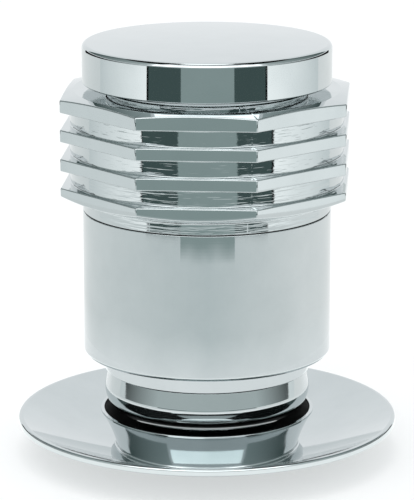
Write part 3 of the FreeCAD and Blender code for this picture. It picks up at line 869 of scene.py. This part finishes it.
@dataclass
class FloatChamber:
    """The plain round body and the baffle on its floor."""

    bottom_round: float = 0.8
    bore: float = 20.4
    floor_top: float = 23.6
    port: float = 13.85
    neck_radius: float = 19.2
    neck_top: float = 19.6
    socket: float = 21.7
    socket_base: float = 41.0
    neck_edge: float = 0.08
    neck_round: float = 0.15
    top_edge: float = 0.12
    floor_round: float = 0.8

    def build(self) -> None:
        """Turn the chamber and dress it with its baffle."""
        size = span("float_chamber")
        piece = turned("float_chamber_body", [
            Corner(self.port, size.base),
            Corner(self.neck_radius, size.base, self.neck_edge),
            Corner(self.neck_radius, self.neck_top, self.neck_round),
            Corner(size.radius, self.neck_top, self.bottom_round),
            Corner(size.radius, size.top, self.top_edge),
            Corner(self.socket, size.top),
            Corner(self.socket, self.socket_base),
            Corner(self.bore, self.socket_base),
            Corner(self.bore, self.floor_top, self.floor_round),
            Corner(self.port, self.floor_top, EASED),
        ], columns=COLUMNS_LARGE)
        dress(piece, CHROME, "vent_body", "float_chamber")
        dress_node("splash_baffle", POLYPROPYLENE)


@dataclass
class Bonnet:
    """The finned head, turned first and then milled to eight flats, and the seal under it."""

    fins: int = 4
    flats: int = 8
    turned_radius: float = 28.4
    skirt_radius: float = 23.0
    skirt_base: float = 46.9
    skirt_top: float = 49.0
    fin_base: float = 50.1
    fin_pitch: float = 5.4
    fin_thickness: float = 2.3
    groove_radius: float = 25.3
    under_chamfer: float = 0.8
    top_edge: float = 68.6
    face_radius: float = 24.6
    face: float = 69.3
    roof_base: float = 65.0
    neck_radius: float = 18.5
    neck_bore: float = 15.5
    spigot_radius: float = 21.6
    bore: float = 19.3
    seat_hole: float = 4.0
    edge: float = 0.2
    corner_round: float = 0.5
    skirt_edge: float = 0.12
    face_round: float = 0.6
    roof_round: float = 1.0
    flat_columns: int = 26
    corner_columns: int = 5
    sharp_deg: float = 50.0
    seal_bore: float = 21.75
    seal_round: float = 0.08

    def rim(self, height: float, side: int, slope: float) -> list[Corner]:
        """Return the corners of one fin edge, each marked with how the milling moves it.

        Args:
            height: the edge's height at the turned radius.
            side: 1 where the flat is left at the edge going up, -1 where it is reached.
            slope: the rise of the face beside it per millimetre inwards.

        Returns:
            The edge's corners in order.
        """
        share = self.edge * (1 - math.cos(math.pi / 4))
        spots = [(self.edge, 0.0), (share, share), (0.0, self.edge)]
        corners = []
        for inset, away in spots if side < 0 else reversed(spots):
            lift = -side * away + inset * slope
            corners.append(Corner(self.turned_radius - inset, height + lift,
                                  mark=(inset * MM, slope)))
        return corners

    def section(self) -> list[Corner]:
        """Return the turned section from the spigot's bore up the outside and down the inside."""
        size = span("bonnet")
        under = self.fin_base + self.under_chamfer
        under_slope = (self.skirt_top - under) / (self.turned_radius - self.skirt_radius)
        top_slope = (self.face - self.top_edge) / (self.turned_radius - self.face_radius)
        corners = [
            Corner(self.bore, size.base, BROKEN),
            Corner(self.spigot_radius, size.base, EASED),
            Corner(self.spigot_radius, self.skirt_base),
            Corner(self.skirt_radius, self.skirt_base, self.skirt_edge),
            Corner(self.skirt_radius, self.skirt_top, EASED),
            *self.rim(under, -1, under_slope),
        ]
        for fin in range(self.fins - 1):
            top = self.fin_base + self.fin_pitch * fin + self.fin_thickness
            base = self.fin_base + self.fin_pitch * (fin + 1)
            corners += [*self.rim(top, 1, 0.0), Corner(self.groove_radius, top, BROKEN),
                        Corner(self.groove_radius, base, BROKEN), *self.rim(base, -1, 0.0)]
        corners += [
            *self.rim(self.top_edge, 1, top_slope),
            Corner(self.face_radius, self.face, self.face_round),
            Corner(self.neck_radius, self.face, BROKEN),
            Corner(self.neck_radius, size.top, SOFT),
            Corner(self.neck_bore, size.top, EASED),
            Corner(self.neck_bore, self.face, SOFT),
            Corner(self.seat_hole, self.face),
            Corner(self.seat_hole, self.roof_base),
            Corner(self.bore, self.roof_base, self.roof_round),
        ]
        return corners

    def columns(self, apothem: float) -> list[float]:
        """Return the angles of the columns: close together where the flats meet."""
        half = math.pi / self.flats
        tangent = math.atan((apothem - self.corner_round) * math.tan(half) / apothem)
        steps = [-tangent + 2 * tangent * i / self.flat_columns for i in range(self.flat_columns)]
        steps += [tangent + 2 * (half - tangent) * i / self.corner_columns
                  for i in range(self.corner_columns)]
        return [2 * half * flat + step for flat in range(self.flats) for step in steps]

    def head(self) -> bpy.types.Object:
        """Turn the head and mill its flats."""
        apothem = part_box("bonnet")[1].x / MM
        blank = turned("bonnet_head", self.section(), angles=self.columns(apothem))
        blank.data.attributes.remove(blank.data.attributes["custom_normal"])
        tree = milled_flats_tree(CHROME_FINNED.material(), self.flats)
        piece = tree.make("bonnet_head", {
            "Apothem": apothem * MM, "Turned Radius": self.turned_radius * MM,
            "Corner Round": self.corner_round * MM}, blank)
        piece.data.set_sharp_from_angle(angle=math.radians(self.sharp_deg))
        return weigh_normals(piece)

    def build(self) -> None:
        """Build and dress the head and its seal."""
        dress(self.head(), CHROME_FINNED, "vent_body", "bonnet")
        build_ring("bonnet_seal", "bonnet_seal_ring", self.seal_bore, self.seal_round, EPDM)


# The modifier's highest setting, where a corner's normal follows the largest face beside it.
LARGE_FACES_ONLY = 100


def weigh_normals(piece: bpy.types.Object) -> bpy.types.Object:
    """Return the piece with normals that keep its large faces true beside their small edges."""
    modifier = piece.modifiers.new("normals", "WEIGHTED_NORMAL")
    modifier.keep_sharp = True
    modifier.weight = LARGE_FACES_ONLY
    mesh = evaluated_mesh(piece)
    piece.modifiers.clear()
    piece.data = mesh
    return piece


@dataclass
class FloatAssembly:
    """The hollow float in two welded shells, with its stirrup."""

    seam: float = 36.5
    wall: float = 1.0
    edge: float = 3.0

    def shell(self, name: str, end: float, toward: int) -> bpy.types.Object:
        """Turn one shell, closed at its end and open at the seam."""
        radius = span("float_lower_shell").radius
        corners = [
            Corner(0.0, end),
            Corner(radius, end, self.edge),
            Corner(radius, self.seam),
            Corner(radius - self.wall, self.seam),
            Corner(radius - self.wall, end + self.wall * toward, self.edge - self.wall),
            Corner(0.0, end + self.wall * toward),
        ]
        return turned(name, corners if toward > 0 else corners[::-1])

    def build(self) -> None:
        """Build and dress the float."""
        lower, upper = span("float_lower_shell"), span("float_upper_shell")
        dress(self.shell("float_shell_lower", lower.base, 1), POLYPROPYLENE, "float",
              "float_lower_shell")
        dress(self.shell("float_shell_upper", upper.top, -1), POLYPROPYLENE, "float",
              "float_upper_shell")
        dress_node("float_stirrup", POLYPROPYLENE)


@dataclass
class VentValve:
    """The nozzle in the roof and the stem, seal and spring below it."""

    bore: float = 1.0
    tip_radius: float = 2.2
    flange_base: float = 62.2
    flange_top: float = 64.3
    shank: float = 3.95
    jet_round: float = 0.15
    washer_bore: float = 4.05
    wire: float = 0.2
    coil_radius: float = 3.6
    coil_turns: float = 3.0
    stem_radius: float = 1.0
    stem_tip_share: float = 0.98
    head_base: float = 57.4
    seal_pocket: float = 2.65
    stem_travel: float = 1.45

    def build(self) -> None:
        """Build and dress the seat, washer, stem, seal and spring."""
        seat = span("vent_seat")
        dress(turned("vent_seat_nozzle", [
            Corner(self.bore, seat.base, self.jet_round),
            Corner(self.tip_radius, seat.base, EASED),
            Corner(self.tip_radius, self.flange_base, BROKEN),
            Corner(seat.radius, self.flange_base, EASED),
            Corner(seat.radius, self.flange_top, BROKEN),
            Corner(self.shank, self.flange_top),
            Corner(self.shank, seat.top, SOFT),
            Corner(self.bore, seat.top, BROKEN),
        ], columns=COLUMNS_SMALL), BRASS, "vent_body", "vent_seat")
        build_ring("seat_washer", "seat_washer_ring", self.washer_bore, SHARP, FIBRE,
                   columns=COLUMNS_SMALL)
        stem, seal = span("valve_stem"), span("seal_disc")
        dress(turned("valve_stem_turned", [
            Corner(0.0, stem.base),
            Corner(self.stem_radius, stem.base, self.stem_radius * self.stem_tip_share),
            Corner(self.stem_radius, self.head_base, BROKEN),
            Corner(stem.radius, self.head_base, EASED),
            Corner(stem.radius, stem.top, EASED),
            Corner(self.seal_pocket, stem.top),
            Corner(self.seal_pocket, seal.base),
            Corner(0.0, seal.base),
        ], columns=COLUMNS_TINY), BRASS, "valve_stem", "valve_stem")
        dress(turned("seal_disc_moulded", [
            Corner(0.0, seal.base),
            Corner(seal.radius, seal.base, SHARP),
            Corner(seal.radius, seal.top, BROKEN),
            Corner(0.0, seal.top),
        ], columns=COLUMNS_TINY), EPDM, "valve_stem", "seal_disc")
        coil = span("valve_spring")
        spring = coil_tree(STAINLESS.material()).make("valve_spring_coil", {
            "Radius": self.coil_radius * MM, "Wire Radius": self.wire * MM,
            "Length": (coil.top - coil.base - self.wire * 2) * MM,
            "Base": (coil.base + self.wire) * MM, "Turns": self.coil_turns})
        spring.data.shade_smooth()
        dress(spring, STAINLESS, "vent_body", "valve_spring")
        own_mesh(spring)


@dataclass
class LeverWork:
    """The lever with its pin and clips, and the bracket with its screws."""

    nodes: tuple[str, ...] = ("float_lever", "lever_pin", "pin_clips", "lever_bracket", "bracket_screws")

    def build(self) -> None:
        """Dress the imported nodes, whose shapes are right as they are."""
        for node in self.nodes:
            dress_node(node, STAINLESS)


@dataclass
class VentCap:
    """The smooth screw cap with a slight crown, and the washer under its ceiling."""

    edge_height: float = 77.9
    edge_round: float = 0.9
    lip_round: float = 0.3
    bore: float = 18.56
    ceiling: float = 75.9
    crown_bow: float = 0.12
    washer_bore: float = 12.0
    washer_round: float = 0.15

    def build(self) -> None:
        """Turn and dress the cap and its washer."""
        size = span("vent_cap")
        dress(turned("vent_cap_turned", [
            Corner(self.bore, size.base, EASED),
            Corner(size.radius, size.base, self.lip_round),
            Corner(size.radius, self.edge_height, self.edge_round, bow=self.crown_bow),
            Corner(0.0, size.top),
            Corner(0.0, self.ceiling),
            Corner(self.bore, self.ceiling, SOFT),
        ], columns=COLUMNS_LARGE), CHROME, "vent_cap", "vent_cap")
        build_ring("cap_washer", "cap_washer_ring", self.washer_bore, self.washer_round, EPDM,
                   body="cap_washer")


# ------------------------------------------------------------------ studio


class Tone(Enum):
    """Colour of a reflector around the object."""

    BLACK = "#121616"
    DARK = "#4a5b5a"
    GREY = "#9aaaa9"
    SILVER = "#c0caca"
    PALE = "#c9cfd0"
    MIST = "#d8e0e1"
    WHITE = "#fafcfc"


@dataclass(frozen=True)
class Card:
    """A reflector that shows only in reflections: a strip swept around the axis.

    Azimuths are in degrees from the camera's, positive to its right. The strip runs through points
    given as (distance from the axis, height) in millimetres. The colour runs from tone at the first
    azimuth to far_tone at the last. The edge nearest the object is ragged over soft_mm: lumps is
    how many waves of noise fit in that width, and eaten is the noise below which the edge is clear.
    """

    name: str
    tone: Tone
    first_deg: float
    last_deg: float
    strip: tuple[tuple[float, float], ...]
    far_tone: Tone | None = None
    soft_mm: float = 0.0
    glow: float = 1.0
    lumps: float = 0.35
    eaten: float = 0.3

    def material(self) -> bpy.types.Material:
        """Make a glowing material with the card's colours and its ragged edge."""
        made = bpy.data.materials.new(self.name)
        made.use_nodes = True
        tree = made.node_tree
        tree.nodes.clear()
        share = add_node(tree, "ShaderNodeAttribute", {"attribute_name": "share"})
        colour = add_node(tree, "ShaderNodeMix", {"data_type": "RGBA"}, {
            "Factor": share.outputs["Fac"], "A": linear(self.tone.value),
            "B": linear((self.far_tone or self.tone).value)})
        glow = add_node(tree, "ShaderNodeEmission", inputs={
            "Color": colour.outputs["Result"], "Strength": self.glow})
        surface = glow.outputs[0]
        if self.soft_mm:
            surface = self.ragged(tree, surface)
        add_node(tree, "ShaderNodeOutputMaterial", inputs={"Surface": surface})
        return made

    def ragged(self, tree: bpy.types.NodeTree, surface: bpy.types.NodeSocket) -> bpy.types.NodeSocket:
        """Let the edge nearest the object fade out unevenly.

        Args:
            tree: the material's tree.
            surface: the shader that fades.

        Returns:
            The faded shader's socket.
        """
        inner, soft = self.strip[0][0] * MM, self.soft_mm * MM
        where = add_node(tree, "ShaderNodeTexCoord").outputs["Object"]
        flat = add_node(tree, "ShaderNodeVectorMath", {"operation": "MULTIPLY"}, {
            0: where, 1: (1.0, 1.0, 0.0)})
        reach = add_node(tree, "ShaderNodeVectorMath", {"operation": "LENGTH"}, {0: flat.outputs[0]})
        noise = add_node(tree, "ShaderNodeTexNoise", inputs={"Vector": where, "Scale": self.lumps / soft})
        uneven = add_node(tree, "ShaderNodeMath", {"operation": "MULTIPLY_ADD"}, {
            0: noise.outputs[0], 1: soft, 2: reach.outputs["Value"]})
        fade = add_node(tree, "ShaderNodeMapRange", inputs={
            "Value": uneven.outputs[0], "From Min": inner + self.eaten * soft,
            "From Max": inner + (1 + self.eaten) * soft})
        clear = add_node(tree, "ShaderNodeBsdfTransparent")
        mix = add_node(tree, "ShaderNodeMixShader", inputs={
            0: fade.outputs[0], 1: clear.outputs[0], 2: surface})
        return mix.outputs[0]


DOME_RADIUS = 620.0
DOME_STEPS = 6
CARD_END = 650.0


def dome(low_deg: float, high_deg: float, radius: float = DOME_RADIUS) -> tuple[tuple[float, float], ...]:
    """Return a strip on a dome between two elevations."""
    rise = (high_deg - low_deg) / DOME_STEPS
    angles = [math.radians(low_deg + rise * step) for step in range(DOME_STEPS + 1)]
    return tuple((radius * math.cos(a), radius * math.sin(a)) for a in angles)


def ground(inner: float, height: float = 8.0, lift: float = 0.6) -> tuple[tuple[float, float], ...]:
    """Return a strip that lies on the floor from a distance outwards and stands up at its far end."""
    return ((inner, lift), (CARD_END, lift), (CARD_END, height))


# Strips that several cards share: round the rosette's rim, then further out, then up at the sides.
RIM_FLOOR = ((36.0, 0.4), (64.0, 0.4))
NEAR_FLOOR = ground(90.0, 0.3, 0.3)
MIDDLE_FLOOR = ((225.0, 0.45), (470.0, 0.45))
FLOOR_SIDES = ground(213.0)
SIDE_WALL = ground(470.0, 150.0)


@dataclass
class Studio:
    """Pale floor, soft white surroundings, a few reflectors and the camera."""

    target_mm: float = 38.55
    distance_mm: float = 534.4
    pitch_deg: float = 13.96
    azimuth_deg: float = 4.2
    lens_mm: float = 206.3
    floor_m: float = 6.0
    floor_glow: float = 0.5
    floor_light: str = "#f6f8f8"
    sky: str = "#fbfdff"
    sky_glow: float = 1.0
    lamp_m: float = 1.6
    lamp_watts: float = 6.0
    lamp_place: tuple[float, float, float] = (-0.3, -0.2, 1.6)
    sensor_mm: float = 36.0
    near_clip_m: float = 0.01
    camera_side_deg: float = -90.0
    steps: int = 24
    cards: tuple[Card, ...] = (
        Card("shade_left", Tone.WHITE, -170, 0, NEAR_FLOOR, Tone.MIST, 40.0),
        Card("shade_right", Tone.MIST, 0, 95, NEAR_FLOOR, Tone.WHITE, 40.0),
        Card("shade_right_far", Tone.WHITE, 95, 170, NEAR_FLOOR, soft_mm=40.0),
        Card("glow_near", Tone.WHITE, -150, 150, RIM_FLOOR, glow=1.3),
        Card("glow_left", Tone.PALE, -112, -55, MIDDLE_FLOOR, far_tone=Tone.WHITE, glow=1.3),
        Card("glow_right", Tone.WHITE, 55, 120, MIDDLE_FLOOR, far_tone=Tone.PALE, glow=1.35),
        Card("card_front", Tone.GREY, -23, 24, ground(187), soft_mm=22.0),
        Card("card_left", Tone.DARK, -53, -23, FLOOR_SIDES),
        Card("card_right", Tone.DARK, 24, 53, FLOOR_SIDES),
        Card("card_left_edge", Tone.BLACK, -55, -53, FLOOR_SIDES),
        Card("card_right_edge", Tone.BLACK, 53, 55, FLOOR_SIDES),
        Card("card_back", Tone.SILVER, -56, 56, ((CARD_END, 8.0), (CARD_END, 130.0))),
        Card("glow_front", Tone.WHITE, -52, 52, dome(24, 44, 610.0), glow=2.8),
        Card("flag_front_line", Tone.BLACK, -52, 52, dome(63, 68, 600.0)),
        Card("flag_left", Tone.BLACK, -145, -52, dome(54, 79)),
        Card("flag_right", Tone.BLACK, 52, 145, dome(54, 79)),
        Card("flag_front", Tone.PALE, -52, 52, dome(66, 79)),
        Card("overhead", Tone.WHITE, -180, 180, dome(79.5, 90), glow=1.8),
        Card("side_left", Tone.BLACK, -112, -56, SIDE_WALL, far_tone=Tone.SILVER),
        Card("side_right", Tone.SILVER, 56, 112, SIDE_WALL, far_tone=Tone.BLACK),
        Card("side_left_high", Tone.DARK, -140, -56, dome(18, 54), far_tone=Tone.SILVER),
        Card("side_right_high", Tone.SILVER, 56, 140, dome(18, 54), far_tone=Tone.DARK),
        Card("side_left_far", Tone.BLACK, -145, -112, SIDE_WALL),
        Card("side_right_far", Tone.BLACK, 112, 145, SIDE_WALL),
    )

    def floor(self) -> None:
        """Lay the floor."""
        half = self.floor_m / 2
        mesh = bpy.data.meshes.new("studio_floor")
        mesh.from_pydata([(-half, -half, 0), (half, -half, 0), (half, half, 0), (-half, half, 0)],
                         [], [(0, 1, 2, 3)])
        made = PAPER.material()
        shader = made.node_tree.nodes["Principled BSDF"]
        shader.inputs["Emission Color"].default_value = linear(self.floor_light)
        shader.inputs["Emission Strength"].default_value = self.floor_glow
        mesh.materials.append(made)
        add_object("studio_floor", mesh)

    def card(self, plan: Card) -> None:
        """Hang one reflector."""
        vertices, faces = [], []
        for step in range(self.steps + 1):
            turn = plan.first_deg + (plan.last_deg - plan.first_deg) * step / self.steps
            angle = math.radians(turn + self.azimuth_deg + self.camera_side_deg)
            vertices += [(reach * MM * math.cos(angle), reach * MM * math.sin(angle), height * MM)
                         for reach, height in plan.strip]
        rows = len(plan.strip)
        for step in range(self.steps):
            low, high = step * rows, (step + 1) * rows
            faces += [(low + i, high + i, high + i + 1, low + i + 1) for i in range(rows - 1)]
        mesh = bpy.data.meshes.new(plan.name)
        mesh.from_pydata(vertices, [], faces)
        card = add_object(plan.name, mesh)
        share = mesh.attributes.new("share", "FLOAT", "POINT")
        share.data.foreach_set("value", [step / self.steps for step in range(self.steps + 1)
                                         for _ in plan.strip])
        mesh.materials.append(plan.material())
        card.visible_camera = False
        card.visible_diffuse = False
        card.visible_shadow = False

    def surroundings(self) -> None:
        """Fill the world with soft white light."""
        world = bpy.data.worlds.new("soft_white")
        world.use_nodes = True
        background = world.node_tree.nodes["Background"]
        background.inputs["Color"].default_value = linear(self.sky)
        background.inputs["Strength"].default_value = self.sky_glow
        bpy.context.scene.world = world

    def lights(self) -> None:
        """Add one large soft lamp overhead, which brings the floor up to white."""
        lamp = bpy.data.lights.new("overhead_softbox", "AREA")
        lamp.shape = "DISK"
        lamp.size = self.lamp_m
        lamp.energy = self.lamp_watts
        holder = add_object("overhead_softbox", lamp)
        holder.location = self.lamp_place
        holder.rotation_euler = (-holder.location).to_track_quat("-Z", "Y").to_euler()

    def camera(self) -> None:
        """Set up the camera."""
        view = bpy.data.cameras.new("camera")
        view.lens = self.lens_mm
        view.sensor_width = self.sensor_mm
        view.clip_start = self.near_clip_m
        holder = add_object("camera", view)
        pitch, azimuth = math.radians(self.pitch_deg), math.radians(self.azimuth_deg)
        back = Vector((math.sin(azimuth) * math.cos(pitch), -math.cos(azimuth) * math.cos(pitch),
                       math.sin(pitch)))
        holder.location = Vector((0, 0, self.target_mm * MM)) + back * self.distance_mm * MM
        holder.rotation_euler = (-back).to_track_quat("-Z", "Y").to_euler()
        bpy.context.scene.camera = holder

    def build(self) -> None:
        """Set everything up."""
        self.floor()
        for plan in self.cards:
            self.card(plan)
        self.surroundings()
        self.lights()
        self.camera()
        bpy.context.scene.view_settings.view_transform = "Standard"


def main() -> None:
    """Build the vent from the wall outwards, then the studio."""
    logging.basicConfig(level=logging.INFO, format="%(name)s: %(message)s")
    for assembly in (Rosette(), InletConnection(), FloatChamber(), Bonnet(), FloatAssembly(),
                     VentValve(), LeverWork(), VentCap()):
        assembly.build()
    Studio().build()


if __name__ == "__main__":
    main()
